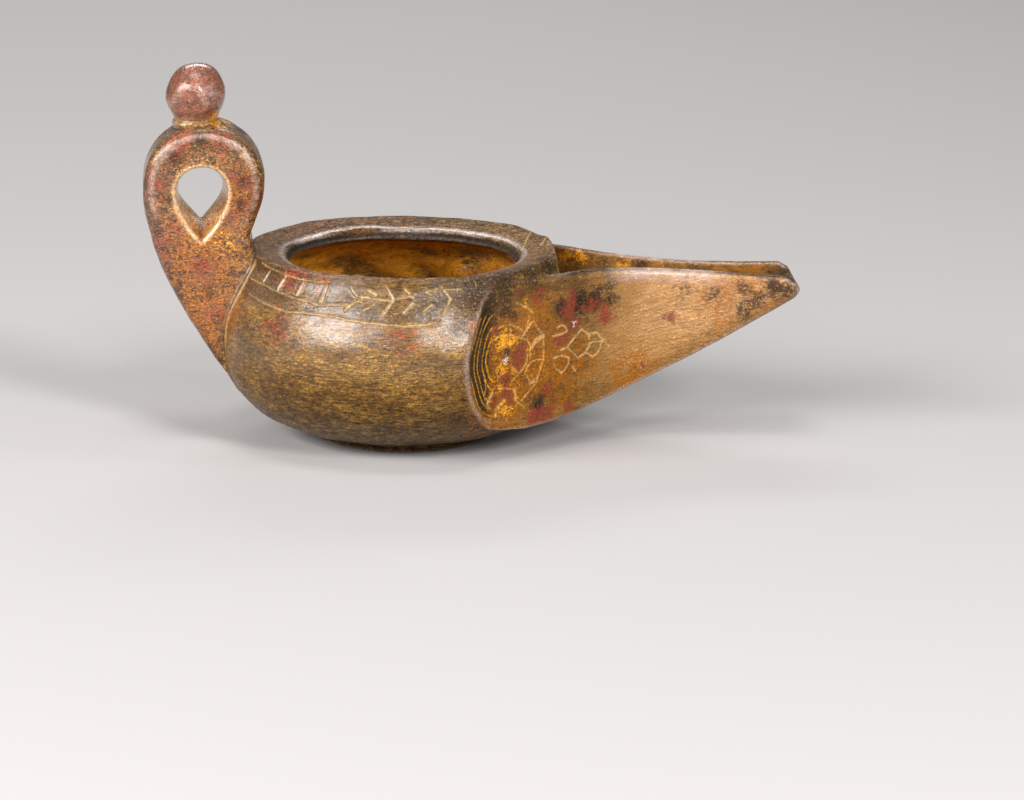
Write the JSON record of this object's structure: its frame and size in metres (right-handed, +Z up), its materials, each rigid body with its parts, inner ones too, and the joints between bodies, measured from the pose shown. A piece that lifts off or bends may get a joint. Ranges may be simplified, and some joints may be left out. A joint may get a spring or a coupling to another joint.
{
  "type": "oil lamp",
  "caption": "Cast bronze oil lamp with a round bowl, a wide flat rim, an open trough spout and an upright ring handle with a knob.",
  "frame": {"origin": "middle of the foot's underside, under the centre of the bowl, on the surface that the lamp stands on", "axes": "+Z up, +X along the spout to its tip, the handle at -X, the two sides alike across the XZ plane"},
  "size_m": [0.1495, 0.084, 0.0856],
  "materials": {
    "bronze": "old cast bronze, brown and olive gold, rubbed to a soft shine, with red-brown and dark patches"
  },
  "bodies": {
    "root": {"oil_lamp": "bronze"}
  },
  "joints": []
}
